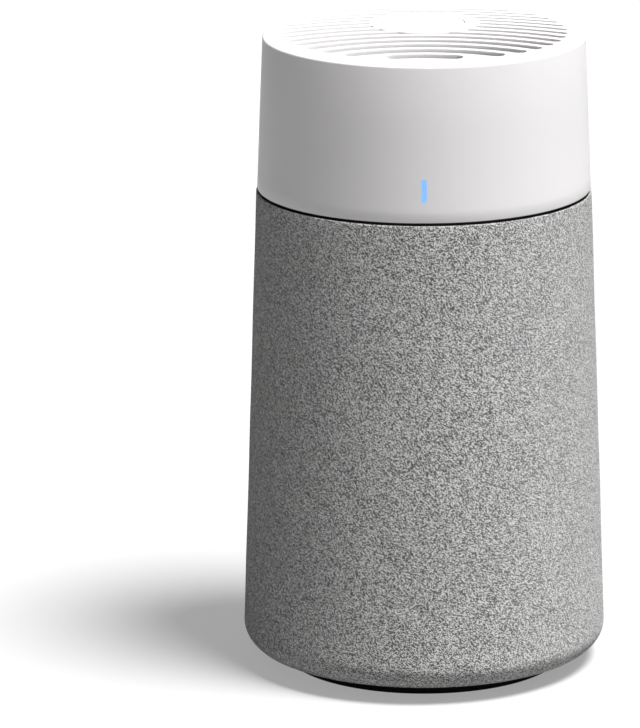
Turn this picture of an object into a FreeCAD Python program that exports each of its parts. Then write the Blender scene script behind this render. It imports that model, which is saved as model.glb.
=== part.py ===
import FreeCAD, Part
import math
import os

from FreeCAD import Vector

# Round tabletop air purifier. Millimetres and degrees, +Z up, front towards -Y.
# The origin is on the floor, under the middle of the foot.

# Outside shape
height = 290.0
head_height = 69.5           # from the seam to the top face
top_radius = 72.6
seam_radius = 75.4           # lower edge of the head
base_radius = 83.0           # fabric at its widest
seam_gap = 1.3               # dark joint between the fabric and the head
top_edge_round = 1.0
foot_radius = 63.9
foot_width = 7.5
foot_height = 3.0
foot_tongue_height = 2.0
fabric_lift = 6.0            # underside of the fabric above the floor
fabric_curl = 11.0           # round edge at the bottom of the fabric
hem_gap = 2.7                # from the foot to the fabric's hem

# Head shell
shell_wall = 2.4
grille_thickness = 3.0
slot_count = 14
slot_front = 48.8            # middle of the front slot, ahead of the axis
slot_front_width = 9.0
slot_front_trim = 3.2        # front slot's ends, short of the field's edge
slot_shrink = 0.885          # each slot's width, against the one in front of it
slot_land = 3.9
slot_curve_centre = 100.0    # ahead of the axis
slot_field_margin = 7.8      # from the top edge to the ends of the slots
slot_field_shift = 6.8       # the slotted field sits a little to the back
slot_smallest_width = 2.0

# Control button
control_offset = 28.5        # behind the axis
button_radius = 18.4
button_gap = 0.35
control_land_width = 6.6     # plain land round the button
button_thickness = 4.5
button_travel = 0.8
button_flange = 1.2
control_pod_wall = 1.2
control_pod_depth = 19.0     # from the grille's underside to the bottom of its cover
cover_height = 3.0
cover_floor = 1.6
board_thickness = 1.6
control_board_drop = 10.9    # from the grille's underside to the top of the board

# Indicator light
indicator_height = 14.4      # above the seam
indicator_width = 2.4
indicator_length = 10.4
indicator_depth = 3.6

# Power inlet for a 5.5 mm barrel plug
socket_radius = 5.0
socket_flange_width = 2.0
socket_flange_thickness = 1.2
socket_length = 12.4
socket_inset = 0.6           # flange's face below the shell's surface
socket_pad_depth = 4.4       # from the flange's face to the nut
socket_pad_margin = 1.5      # round the flange
socket_pad_clearance = 0.9   # above the fan housing's flange
socket_nut_thickness = 2.2
socket_nut_width = 3.0       # nut's corners past the barrel
plug_radius = 2.75
plug_clearance = 0.1
socket_depth = 9.5
socket_pin_radius = 1.0
socket_pin_length = 8.5

# Sleeve and cage
sleeve_thickness = 1.4
sleeve_proud = 0.6           # fabric outside the lower edge of the head
sleeve_clearance = 0.15
cage_depth = 4.0
cage_rib_count = 24
cage_rib_width = 4.0
cage_hoop_height = 4.0
cage_tiers = 3
cage_collar_height = 12.0
cage_drop = 1.2              # cage's top rim below the fabric's edge
elastic_thickness = 1.0
elastic_height = 5.0
elastic_drop = 2.0           # upper elastic below the cage's rim
hem_elastic_width = 2.2
pan_wall = 2.5
pan_boss_rise = 3.0
cage_foot_ring = 7.0         # solid ring at the bottom of the cage

# Filter cartridge
filter_side_clearance = 4.7  # to the collar that the filter is drawn through
filter_bore = 33.0
filter_bar_width = 11.0
filter_band_height = 5.0
filter_band_thickness = 0.6
filter_cap_thickness = 2.5
filter_cap_lip = 6.0
filter_lip_wall = 1.7
pleat_count = 80
pleat_depth = 23.6
pleat_sheet = 0.6
carbon_thickness = 2.2
gasket_thickness = 1.8
gasket_width = 6.0
filter_clearance = 0.2

# Head chassis
deck_thickness = 4.0
deck_rise = 1.7              # top of the deck above the seam
spigot_depth = 11.7
spigot_wall = 2.5
inlet_plate_thickness = 2.5
inlet_radius = 42.0
head_fit = 0.5
key_width = 6.0
key_depth = 1.8
key_clearance = 0.4
shell_gap = 0.35

# Fan
duct_radius = 57.5
duct_wall = 1.6
duct_height = 39.8
flange_thickness = 2.5
vane_count = 11
vane_thickness = 1.6
vane_height = 11.0
vane_lean = 28.0
hub_radius = 24.0
hub_thickness = 3.0
hub_rim_wall = 1.6
blade_count = 9
tip_clearance = 1.0
impeller_hub_radius = 22.5
impeller_height = 20.0
impeller_lift = 4.3          # bottom of the impeller above the deck

# Motor
motor_flange_radius = 12.0
motor_flange_thickness = 1.6
motor_screw_circle = 9.0
motor_board_thickness = 1.0
shaft_radius = 1.5
bearing_lift = 8.0           # lower bearing above the impeller's bottom
yoke_lift = 2.5
magnet_lift = 6.0
bearing_radius = 4.0
bearing_width = 4.0
bearing_clearance = 0.05
bearing_tube_wall = 0.8
yoke_radius = 20.4
yoke_wall = 1.2
magnet_thickness = 2.4
air_gap = 0.6
stator_height = 8.0
stator_teeth = 9
tooth_width = 2.4
winding_bulge = 1.6
winding_thickness = 0.8

# Fasteners
screw_radius = 1.5
screw_head_radius = 2.75
screw_head_height = 1.8
base_screw_length = 9.0
chassis_screw_length = 12.0
chassis_pilot_depth = 10.0
motor_screw_radius = 1.0
motor_screw_head_radius = 1.8
motor_screw_head_height = 1.1
motor_screw_length = 3.6
board_screw_length = 5.5
small_screw_radius = 0.8
small_screw_head_radius = 1.3
small_screw_head_height = 1.1
boss_wall = 1.5
thread_clearance = 0.05      # screws are drawn at their thread's core
lead_radius = 1.2
lead_bend = 4.0

# Heights that several parts share
seam_z = height - head_height
sleeve_top_z = seam_z - seam_gap
curl_z = fabric_lift + fabric_curl
cage_top_z = sleeve_top_z - cage_drop
pan_floor_z = fabric_lift + sleeve_thickness + sleeve_clearance
pan_top_z = pan_floor_z + pan_wall
deck_z = seam_z + deck_rise
deck_bottom_z = deck_z - deck_thickness
spigot_bottom_z = deck_bottom_z - spigot_depth
inlet_plate_top_z = spigot_bottom_z + inlet_plate_thickness
grille_z = height - grille_thickness
duct_top_z = deck_z + duct_height
hub_z = duct_top_z - vane_height - 1.0
impeller_z = deck_z + impeller_lift
filter_top_z = spigot_bottom_z - filter_clearance - gasket_thickness
filter_bottom_z = pan_top_z + filter_clearance

# Radii that several parts share
control_land_radius = button_radius + control_land_width
socket_flange_radius = socket_radius + socket_flange_width
socket_pad_radius = socket_flange_radius + socket_pad_margin
socket_height = deck_rise + flange_thickness + socket_pad_clearance + socket_pad_radius
sleeve_top_radius = seam_radius + sleeve_proud
hem_radius = foot_radius + hem_gap
skin = sleeve_thickness + sleeve_clearance
collar_outer_radius = sleeve_top_radius - skin
deck_radius = seam_radius - shell_wall - shell_gap
screw_circle = seam_radius - shell_wall - screw_radius - boss_wall - 1.0
collar_radius = screw_circle + 0.4
spigot_radius = collar_radius - head_fit
filter_radius = collar_radius - filter_side_clearance
media_radius = filter_radius - filter_lip_wall - 0.9
screw_angles = (30, 150, 210, 330)
key_angles = (0, 120, 240)
base_screw_angles = (45, 135, 225, 315)


def disc(radius, bottom, top, x=0.0, y=0.0):
    return Part.makeCylinder(radius, top - bottom, Vector(x, y, bottom))


def ring(outer, inner, bottom, top, x=0.0, y=0.0):
    return disc(outer, bottom, top, x, y).cut(disc(inner, bottom, top, x, y))


def block(width, depth, bottom, top, x=0.0, y=0.0):
    corner = Vector(x - width / 2, y - depth / 2, bottom)
    return Part.makeBox(width, depth, top - bottom, corner)


def rod(radius, start, end):
    along = end - start
    return Part.makeCylinder(radius, along.Length, start, along)


def revolved(outline):
    points = [Vector(r, 0, z) for r, z in outline]
    face = Part.Face(Part.makePolygon(points + points[:1]))
    return face.revolve(Vector(0, 0, 0), Vector(0, 0, 1), 360)


def turned(shape, angle):
    copy = shape.copy()
    copy.rotate(Vector(0, 0, 0), Vector(0, 0, 1), angle)
    return copy


def around(shape, count, start=0.0):
    return [turned(shape, start + 360.0 * i / count) for i in range(count)]


def at_angles(shape, angles):
    return [turned(shape, angle) for angle in angles]


def joined(shapes):
    return shapes[0].multiFuse(shapes[1:]).removeSplitter()


def polar(radius, angle, z):
    turn = math.radians(angle)
    return Vector(radius * math.cos(turn), radius * math.sin(turn), z)


def sleeve_radius(z):
    share = (z - curl_z) / (sleeve_top_z - curl_z)
    return base_radius + (sleeve_top_radius - base_radius) * share


def shell_radius(z):
    return seam_radius + (top_radius - seam_radius) * (z - seam_z) / head_height


def lead(points, radius=lead_radius, bend=lead_bend):
    edges = []
    start = points[0]
    for before, corner, after in zip(points, points[1:], points[2:]):
        inward = (before - corner).normalize()
        outward = (after - corner).normalize()
        half = inward.getAngle(outward) / 2
        reach = bend / math.tan(half)
        middle = (inward + outward).normalize() * (bend / math.sin(half) - bend)
        first = corner + inward * reach
        last = corner + outward * reach
        edges.append(Part.LineSegment(start, first).toShape())
        edges.append(Part.Arc(first, corner + middle, last).toShape())
        start = last
    edges.append(Part.LineSegment(start, points[-1]).toShape())
    path = Part.Wire(edges)
    circle = Part.makeCircle(radius, points[0], points[1] - points[0])
    return path.makePipeShell([Part.Wire(circle)], True, True)


def screw(bottom, length, radius, head_radius, head_height, x=0.0, y=0.0):
    head = disc(head_radius, bottom, bottom + head_height, x, y)
    recess = disc(head_radius * 0.45, bottom, bottom + head_height * 0.5, x, y)
    shank = disc(radius, bottom + head_height, bottom + head_height + length, x, y)
    return joined([head.cut(recess), shank])


# Base

def foot_ring():
    tongue = foot_width * 0.2
    middle = foot_radius - foot_width / 2
    sole = ring(foot_radius - 0.5, foot_radius - foot_width + 0.5, 0, foot_height)
    rib = ring(middle + tongue, middle - tongue, foot_height, foot_height + foot_tongue_height)
    return joined([sole, rib])


def base_pan():
    centre = base_radius - fabric_curl
    outer = fabric_curl - skin
    inner = outer - pan_wall
    points = [
        Vector(0, 0, pan_floor_z),
        Vector(centre, 0, pan_floor_z),
        Vector(centre + outer, 0, curl_z),
        Vector(centre + inner, 0, curl_z),
        Vector(centre, 0, pan_top_z),
        Vector(0, 0, pan_top_z),
    ]
    diagonal = math.sqrt(0.5)
    outer_middle = Vector(centre + outer * diagonal, 0, curl_z - outer * diagonal)
    inner_middle = Vector(centre + inner * diagonal, 0, curl_z - inner * diagonal)
    edges = [
        Part.LineSegment(points[0], points[1]).toShape(),
        Part.Arc(points[1], outer_middle, points[2]).toShape(),
        Part.LineSegment(points[2], points[3]).toShape(),
        Part.Arc(points[3], inner_middle, points[4]).toShape(),
        Part.LineSegment(points[4], points[5]).toShape(),
        Part.LineSegment(points[5], points[0]).toShape(),
    ]
    dish = Part.Face(Part.Wire(edges)).revolve(Vector(0, 0, 0), Vector(0, 0, 1), 360)
    plinth = ring(foot_radius, foot_radius - foot_width, foot_height, pan_floor_z)
    tongue = foot_width * 0.2 + 0.1
    middle = foot_radius - foot_width / 2
    groove = ring(middle + tongue, middle - tongue, foot_height, foot_height + foot_tongue_height + 0.1)
    boss = disc(screw_head_radius + boss_wall, pan_floor_z, boss_z(), base_screw_circle())
    head = disc(screw_head_radius + 0.2, pan_floor_z, screw_seat_z(), base_screw_circle())
    hole = disc(screw_radius + 0.2, pan_floor_z, boss_z(), base_screw_circle())
    shape = joined([dish, plinth] + at_angles(boss, base_screw_angles))
    cuts = [groove] + at_angles(head, base_screw_angles) + at_angles(hole, base_screw_angles)
    return shape.cut(cuts)


def base_screw_circle():
    return base_radius - fabric_curl - screw_head_radius


def screw_seat_z():
    return pan_floor_z + screw_head_height + 0.2


def boss_z():
    return pan_top_z + pan_boss_rise


def base_screws():
    one = screw(pan_floor_z + 0.2, base_screw_length, screw_radius, screw_head_radius,
                screw_head_height, base_screw_circle())
    return Part.makeCompound(at_angles(one, base_screw_angles))


def cage_wall(bottom, top, outset, depth):
    low = sleeve_radius(bottom) - skin + outset
    high = sleeve_radius(top) - skin + outset
    return revolved([(low, bottom), (high, top), (high - depth, top), (low - depth, bottom)])


def intake_cage():
    bottom_ring_top = curl_z + cage_foot_ring
    collar_z = cage_top_z - cage_collar_height
    span = (collar_z - bottom_ring_top - cage_hoop_height * (cage_tiers - 1)) / cage_tiers
    wall = cage_wall(curl_z, cage_top_z, 0, cage_depth)
    pitch = 2 * math.pi * sleeve_radius(curl_z) / cage_rib_count
    window_width = pitch - cage_rib_width
    windows = []
    for tier in range(cage_tiers):
        low = bottom_ring_top + tier * (span + cage_hoop_height)
        share = sleeve_radius(low + span / 2) / sleeve_radius(curl_z)
        window = block(base_radius, window_width * share, low, low + span, base_radius)
        windows += around(window, cage_rib_count)
    collar = cage_wall(collar_z, cage_top_z, 0, collar_outer_radius - collar_radius)
    collar = collar.cut(disc(collar_radius, collar_z - 1, cage_top_z + 1))
    collar = collar.common(cage_wall(collar_z, cage_top_z, 0, collar_outer_radius))
    key_middle = collar_radius + 0.5 - key_depth / 2
    key = block(key_depth + 1, key_width, collar_z, cage_top_z - 1, key_middle)
    boss_radius = screw_radius + boss_wall
    top = curl_z + cage_foot_ring
    reach = sleeve_radius(curl_z) - skin - cage_depth
    boss = disc(boss_radius, boss_z(), top, base_screw_circle())
    web_length = reach + 1.0 - base_screw_circle()
    web = block(web_length, 3.0, curl_z, top, base_screw_circle() + web_length / 2)
    hole = disc(screw_radius + thread_clearance, boss_z(), top - 2.0, base_screw_circle())
    band_z = elastic_z()
    band_inner = collar_outer_radius - elastic_thickness - 0.1
    groove = ring(base_radius, band_inner, band_z, band_z + elastic_height)
    body = wall.cut(windows)
    parts = [body, collar] + at_angles(key, key_angles)
    parts += at_angles(boss, base_screw_angles) + at_angles(web, base_screw_angles)
    return joined(parts).cut(at_angles(hole, base_screw_angles) + [groove])


def elastic_z():
    return cage_top_z - elastic_height - elastic_drop


def fabric_sleeve():
    centre = base_radius - fabric_curl
    inner = fabric_curl - sleeve_thickness
    diagonal = math.sqrt(0.5)
    points = [
        Vector(sleeve_top_radius, 0, sleeve_top_z),
        Vector(base_radius, 0, curl_z),
        Vector(centre, 0, fabric_lift),
        Vector(hem_radius, 0, fabric_lift),
        Vector(hem_radius, 0, fabric_lift + sleeve_thickness),
        Vector(centre, 0, fabric_lift + sleeve_thickness),
        Vector(centre + inner, 0, curl_z),
        Vector(sleeve_top_radius - sleeve_thickness, 0, sleeve_top_z),
    ]
    outer_middle = Vector(centre + fabric_curl * diagonal, 0, curl_z - fabric_curl * diagonal)
    inner_middle = Vector(centre + inner * diagonal, 0, curl_z - inner * diagonal)
    edges = [
        Part.LineSegment(points[0], points[1]).toShape(),
        Part.Arc(points[1], outer_middle, points[2]).toShape(),
        Part.LineSegment(points[2], points[3]).toShape(),
        Part.LineSegment(points[3], points[4]).toShape(),
        Part.LineSegment(points[4], points[5]).toShape(),
        Part.Arc(points[5], inner_middle, points[6]).toShape(),
        Part.LineSegment(points[6], points[7]).toShape(),
        Part.LineSegment(points[7], points[0]).toShape(),
    ]
    return Part.Face(Part.Wire(edges)).revolve(Vector(0, 0, 0), Vector(0, 0, 1), 360)


def sleeve_top_elastic():
    bottom = elastic_z() + 0.1
    top = elastic_z() + elastic_height - 0.1
    return ring(collar_outer_radius, collar_outer_radius - elastic_thickness, bottom, top)


def sleeve_bottom_elastic():
    inner = hem_radius - hem_elastic_width
    return ring(hem_radius, inner, fabric_lift - 0.2, fabric_lift + sleeve_thickness)


# Filter

def cap(plate_bottom, plate_top, lip_bottom, lip_top):
    plate = disc(filter_radius, plate_bottom, plate_top)
    lip = ring(filter_radius, filter_radius - filter_lip_wall, lip_bottom, lip_top)
    return joined([plate, lip])


def media_bottom():
    return filter_bottom_z + filter_cap_thickness


def media_top():
    return filter_top_z - filter_cap_thickness


def filter_bottom_cap():
    bottom = media_bottom()
    inner = ring(filter_bore + filter_lip_wall, filter_bore, bottom, bottom + filter_cap_lip)
    return joined([cap(filter_bottom_z, bottom, bottom, bottom + filter_cap_lip), inner])


def filter_top_cap():
    top = media_top()
    body = cap(top, filter_top_z, top - filter_cap_lip, top)
    inner = ring(filter_bore + filter_lip_wall, filter_bore, top - filter_cap_lip, top)
    opening = disc(filter_bore, top, filter_top_z)
    handle = block(2 * filter_bore + 2, filter_bar_width, top, filter_top_z)
    return joined([body.cut(opening), inner, handle])


def star(outer, inner, bottom, top):
    points = []
    for pleat in range(pleat_count):
        tip = 360.0 * pleat / pleat_count
        points.append(polar(outer, tip, bottom))
        points.append(polar(inner, tip + 180.0 / pleat_count, bottom))
    face = Part.Face(Part.makePolygon(points + points[:1]))
    return face.extrude(Vector(0, 0, top - bottom))


def filter_media():
    valley = media_radius - pleat_depth
    rise = math.pi * (media_radius + valley) / 2 / pleat_count
    fold = pleat_sheet / math.sin(math.atan2(rise, pleat_depth))
    outside = star(media_radius, valley + fold, media_bottom(), media_top())
    inside = star(media_radius - fold, valley, media_bottom(), media_top())
    return outside.cut(inside)


def filter_carbon_sleeve():
    inner = filter_bore + filter_lip_wall + 0.1
    return ring(inner + carbon_thickness, inner, media_bottom(), media_top())


def filter_bands():
    span = media_top() - media_bottom()
    half = filter_band_height / 2
    bands = []
    for share in (0.25, 0.5, 0.75):
        z = media_bottom() + span * share
        bands.append(ring(media_radius + filter_band_thickness, media_radius, z - half, z + half))
    return Part.makeCompound(bands)


def filter_gasket():
    outer = (filter_radius + inlet_radius) / 2 + gasket_width / 2
    return ring(outer, outer - gasket_width, filter_top_z, filter_top_z + gasket_thickness)


# Head

def slot(middle, width, trim):
    radius = slot_curve_centre - middle
    field = top_radius - slot_field_margin - width / 2
    span = slot_curve_centre + slot_field_shift
    cosine = (radius ** 2 + span ** 2 - field ** 2) / (2 * radius * span)
    turn = math.acos(max(-1.0, min(1.0, cosine))) - trim / radius
    bottom = grille_z - 1.0

    def point(distance, angle):
        y = distance * math.cos(angle) - slot_curve_centre
        return Vector(distance * math.sin(angle), y, bottom)

    outer = radius + width / 2
    inner = radius - width / 2
    end = turn + width / 2 / radius
    edges = [
        Part.Arc(point(outer, -turn), point(outer, 0), point(outer, turn)).toShape(),
        Part.Arc(point(outer, turn), point(radius, end), point(inner, turn)).toShape(),
        Part.Arc(point(inner, turn), point(inner, 0), point(inner, -turn)).toShape(),
        Part.Arc(point(inner, -turn), point(radius, -end), point(outer, -turn)).toShape(),
    ]
    face = Part.Face(Part.Wire(edges))
    return face.extrude(Vector(0, 0, grille_thickness + 2.0))


def slots():
    shapes = []
    middle = slot_front
    width = slot_front_width
    land = disc(control_land_radius, grille_z - 2, height + 2, 0, control_offset)
    for number in range(slot_count):
        trim = slot_front_trim if number == 0 else 0.0
        shapes.append(slot(middle, width, trim).cut(land))
        narrower = max(width * slot_shrink, slot_smallest_width)
        middle -= (width + narrower) / 2 + slot_land
        width = narrower
    return shapes


def control_screw_places():
    reach = control_land_radius - control_pod_wall - small_screw_head_radius - 0.3
    places = []
    for angle in (90, 210, 330):
        centre = polar(reach, angle, 0)
        places.append((centre.x, centre.y + control_offset))
    return places


def indicator_shape(grow, inner_y, outer_y):
    centre_z = seam_z + indicator_height
    radius = indicator_width / 2 + grow
    half = (indicator_length - indicator_width) / 2
    start = Vector(0, inner_y, centre_z - half)
    along = Vector(0, outer_y - inner_y, 0)
    low = Part.makeCylinder(radius, along.Length, start, along)
    high = low.translated(Vector(0, 0, 2 * half))
    corner = Vector(-radius, min(inner_y, outer_y), centre_z - half)
    middle = Part.makeBox(2 * radius, along.Length, 2 * half, corner)
    return joined([low, high, middle])


def head_outline():
    outside = revolved([(0, seam_z), (seam_radius, seam_z), (top_radius, height), (0, height)])
    rim = [edge for edge in outside.Edges if edge.BoundBox.ZMin > height - 0.01]
    return outside.makeFillet(top_edge_round, rim)


def socket_face_y():
    return shell_radius(seam_z + socket_height) - socket_inset


def head_shell():
    inside = revolved([
        (0, seam_z - 1),
        (shell_radius(seam_z - 1) - shell_wall, seam_z - 1),
        (top_radius - shell_wall, grille_z),
        (0, grille_z),
    ])
    shell = head_outline().cut([inside] + slots())
    pod_bottom = pod_bottom_z() + cover_height
    pod_inner = control_land_radius - control_pod_wall
    pod = ring(control_land_radius, pod_inner, pod_bottom, grille_z, 0, control_offset)
    board_top = grille_z - control_board_drop
    pilot_top = board_top + board_screw_length - 0.5
    posts = []
    pilots = []
    for x, y in control_screw_places():
        posts.append(disc(small_screw_head_radius + 0.6, board_top, grille_z, x, y))
        pilots.append(disc(small_screw_radius + thread_clearance, board_top, pilot_top, x, y))
    boss_bottom = deck_z + flange_thickness
    boss_pilot_top = boss_bottom + chassis_pilot_depth
    boss = disc(screw_radius + boss_wall, boss_bottom, grille_z + 0.5, screw_circle)
    boss_pilot = disc(screw_radius + thread_clearance, boss_bottom, boss_pilot_top, screw_circle)
    bosses = [shape.common(head_outline()) for shape in at_angles(boss, screw_angles)]
    body = joined([shell, pod, socket_pad()] + posts + bosses)
    button_hole = disc(button_radius + button_gap, grille_z - 1, height + 1, 0, control_offset)
    window = indicator_shape(0, -shell_radius(seam_z) - 2, -shell_radius(seam_z) + 8)
    cuts = at_angles(boss_pilot, screw_angles) + pilots + socket_cuts()
    cuts += [button_hole, window, power_wire_hole(), indicator_wire_hole()]
    return body.cut(cuts)


def socket_rod(radius, inner, outer):
    z = seam_z + socket_height
    y = socket_face_y()
    return rod(radius, Vector(0, y + inner, z), Vector(0, y + outer, z))


def socket_pad():
    return socket_rod(socket_pad_radius, -socket_pad_depth, 2).common(head_outline())


def socket_cuts():
    recess = socket_rod(socket_flange_radius + 0.2, -socket_flange_thickness, 9)
    hole = socket_rod(socket_radius + 0.1, -9, 9)
    return [recess, hole]


def power_wire_hole():
    z = power_lead_z()
    hole = rod(lead_radius + 0.4, Vector(0, control_offset, z), Vector(0, base_radius, z))
    return hole.common(disc(control_land_radius + 1, pod_bottom_z(), grille_z, 0, control_offset))


def head_chassis():
    plate = ring(spigot_radius, inlet_radius, spigot_bottom_z, inlet_plate_top_z)
    spigot = ring(spigot_radius, spigot_radius - spigot_wall, spigot_bottom_z, deck_z)
    deck = ring(deck_radius, duct_radius + 2.0, deck_bottom_z, deck_z)
    rebate = disc(inlet_radius + 2.6, inlet_plate_top_z - 1.0, inlet_plate_top_z)
    notch_x = collar_radius - key_depth - key_clearance
    notch_top = cage_top_z - 1 + key_clearance
    notch = Part.makeBox(
        key_depth + 2, key_width + 2 * key_clearance, notch_top - spigot_bottom_z + 1,
        Vector(notch_x, -key_width / 2 - key_clearance, spigot_bottom_z - 1),
    )
    head_top = deck_bottom_z + screw_head_height + 0.4
    head = disc(screw_head_radius + 0.2, deck_bottom_z, head_top, screw_circle)
    trough = disc(screw_head_radius + 0.2, spigot_bottom_z - 1, deck_bottom_z, screw_circle)
    hole = disc(screw_radius + 0.2, deck_bottom_z, deck_z, screw_circle)
    cuts = [rebate] + at_angles(notch, key_angles)
    for shape in (head, trough, hole):
        cuts += at_angles(shape, screw_angles)
    return joined([plate, spigot, deck]).cut(cuts)


def chassis_screws():
    one = screw(deck_bottom_z + 0.4, chassis_screw_length, screw_radius, screw_head_radius,
                screw_head_height, screw_circle)
    return Part.makeCompound(at_angles(one, screw_angles))


def inlet_guard():
    bottom = inlet_plate_top_z - 1.0
    rim = ring(inlet_radius + 2.5, inlet_radius - 2.0, bottom, inlet_plate_top_z)
    hoops = []
    radius = 8.0
    while radius < inlet_radius - 6.0:
        hoops.append(ring(radius + 1.6, radius, bottom, inlet_plate_top_z))
        radius += 8.0
    spoke = block(inlet_radius - 8.0, 1.8, bottom, inlet_plate_top_z, (inlet_radius + 8.0) / 2)
    return joined([rim] + hoops + around(spoke, 6))


def inlet_bell():
    wall = 2.0
    return revolved([
        (inlet_radius, inlet_plate_top_z),
        (inlet_radius + 8.0, inlet_plate_top_z),
        (inlet_radius + 8.0, inlet_plate_top_z + 2.0),
        (duct_radius + wall - 0.1, deck_z - 2.5),
        (duct_radius + wall - 0.1, deck_z),
        (duct_radius, deck_z),
    ])


def vane():
    corner = Vector(0, -vane_thickness / 2, -vane_height * 0.8)
    plate = Part.makeBox(duct_radius, vane_thickness, vane_height * 1.6, corner)
    plate.rotate(Vector(0, 0, 0), Vector(1, 0, 0), vane_lean)
    plate.translate(Vector(0, 0, hub_z + vane_height / 2))
    keep = ring(duct_radius + 0.5, hub_radius - 0.5, hub_z, hub_z + vane_height)
    return plate.common(keep)


def fan_housing():
    duct = ring(duct_radius + duct_wall, duct_radius, deck_z, duct_top_z)
    flange = ring(deck_radius - 0.4, duct_radius, deck_z, deck_z + flange_thickness)
    hub = disc(hub_radius, hub_z, hub_z + hub_thickness)
    rim = ring(hub_radius, hub_radius - hub_rim_wall, hub_z, hub_z + vane_height)
    hole = disc(screw_radius + 0.2, deck_z, deck_z + flange_thickness, screw_circle)
    lead_hole = disc(lead_radius + 0.6, hub_z, hub_z + hub_thickness, 0, motor_lead_y())
    pilots = [disc(motor_screw_radius + thread_clearance, hub_z, hub_z + hub_thickness, p.x, p.y)
              for p in motor_screw_places()]
    board_y = -indicator_board_y()
    ledge_depth = board_y - duct_radius - 0.8
    centre_z = seam_z + indicator_height
    ledge = block(10.0, ledge_depth, centre_z - 6, centre_z + 6, 0, -board_y + ledge_depth / 2)
    ledge = ledge.cut(disc(duct_radius, centre_z - 7, centre_z + 7))
    shape = joined([duct, flange, hub, rim, ledge] + around(vane(), vane_count, 90.0 / vane_count))
    return shape.cut(at_angles(hole, screw_angles) + [lead_hole] + pilots)


def motor_lead_y():
    return control_offset - control_land_radius + 8.5


def motor_screw_places():
    return [polar(motor_screw_circle, angle, 0) for angle in (30, 150, 270)]


def motor_base():
    flange_z = motor_flange_z()
    flange = disc(motor_flange_radius, flange_z, hub_z)
    tube_bottom = impeller_z + bearing_lift
    tube = disc(bearing_radius + bearing_tube_wall, tube_bottom, flange_z)
    bore = disc(bearing_radius, tube_bottom, hub_z - 0.6)
    holes = [disc(motor_screw_radius + 0.2, flange_z, hub_z, p.x, p.y) for p in motor_screw_places()]
    lead_notch = disc(lead_radius + 0.6, flange_z, hub_z, 0, motor_lead_y())
    return joined([flange, tube]).cut([bore, lead_notch] + holes)


def motor_flange_z():
    return hub_z - motor_flange_thickness


def motor_screws():
    bottom = motor_flange_z() - motor_screw_head_height
    screws = []
    for place in motor_screw_places():
        screws.append(screw(bottom, motor_screw_length, motor_screw_radius, motor_screw_head_radius,
                            motor_screw_head_height, place.x, place.y))
    return Part.makeCompound(screws)


def stator_span():
    middle = (impeller_z + bearing_lift + motor_flange_z()) / 2
    return middle - stator_height / 2, middle + stator_height / 2


def stator_radius():
    return yoke_radius - yoke_wall - magnet_thickness - air_gap


def stator_core():
    bottom, top = stator_span()
    tube = bearing_radius + bearing_tube_wall
    outer = stator_radius()
    core = ring(tube + 2.2, tube, bottom, top)
    face = ring(outer, outer - 1.6, bottom, top)
    opening = block(outer, 2.0, bottom, top, outer)
    face = face.cut(around(opening, stator_teeth, 180.0 / stator_teeth))
    tooth = block(outer - tube - 2.2, tooth_width, bottom, top, (outer + tube + 0.6) / 2)
    return joined([core, face] + around(tooth, stator_teeth))


def stator_windings():
    bottom, top = stator_span()
    start = bearing_radius + bearing_tube_wall + 2.8
    length = stator_radius() - 1.9 - start
    middle = start + length / 2
    width = tooth_width + 2 * winding_thickness
    coil = block(length, width, bottom - winding_bulge, top + winding_bulge, middle)
    coil = coil.cut(block(length + 1, tooth_width + 0.1, bottom, top, middle))
    coil = coil.common(wedge(start, stator_radius(), bottom - 5, top + 5))
    return Part.makeCompound(around(coil, stator_teeth))


def wedge(start, end, bottom, top):
    half = math.radians(180.0 / stator_teeth)
    inset = 0.15
    near = start - 1.0
    points = [
        Vector(near, near * math.tan(half) - inset, bottom),
        Vector(near, -near * math.tan(half) + inset, bottom),
        Vector(end, -end * math.tan(half) + inset, bottom),
        Vector(end, end * math.tan(half) - inset, bottom),
    ]
    face = Part.Face(Part.makePolygon(points + points[:1]))
    return face.extrude(Vector(0, 0, top - bottom))


def motor_board():
    top = motor_flange_z()
    bottom = top - motor_board_thickness
    board = ring(stator_radius(), bearing_radius + bearing_tube_wall + 0.1, bottom, top)
    holes = [disc(motor_screw_head_radius + 0.5, bottom, top, p.x, p.y) for p in motor_screw_places()]
    return board.cut(holes)


def bearing(bottom):
    top = bottom + bearing_width
    body = ring(bearing_radius, shaft_radius + bearing_clearance, bottom, top)
    groove = ring(bearing_radius - 0.7, shaft_radius + 0.8, bottom, bottom + 0.3)
    return body.cut([groove, groove.translated(Vector(0, 0, bearing_width - 0.3))])


def lower_bearing():
    return bearing(impeller_z + bearing_lift)


def upper_bearing():
    return bearing(hub_z - 0.6 - bearing_width)


def pod_bottom_z():
    return grille_z - control_pod_depth


def control_board_z():
    return grille_z - control_board_drop - board_thickness


def power_lead_z():
    return control_board_z() - 2.6


def control_board():
    bottom = control_board_z()
    radius = control_land_radius - control_pod_wall - 0.3
    board = disc(radius, bottom, bottom + board_thickness, 0, control_offset)
    chips = [
        block(7.0, 7.0, bottom - 1.2, bottom, -9.0, control_offset + 2.0),
        block(4.0, 5.0, bottom - 1.6, bottom, 11.0, control_offset + 3.0),
        block(3.0, 2.0, bottom - 0.9, bottom, 8.0, control_offset - 8.0),
    ]
    top = bottom + board_thickness
    holes = [disc(small_screw_radius + 0.15, bottom, top, x, y) for x, y in control_screw_places()]
    return joined([board] + chips).cut(holes)


def control_board_screws():
    bottom = control_board_z() - small_screw_head_height
    screws = []
    for x, y in control_screw_places():
        screws.append(screw(bottom, board_screw_length, small_screw_radius, small_screw_head_radius,
                            small_screw_head_height, x, y))
    return Part.makeCompound(screws)


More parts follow.
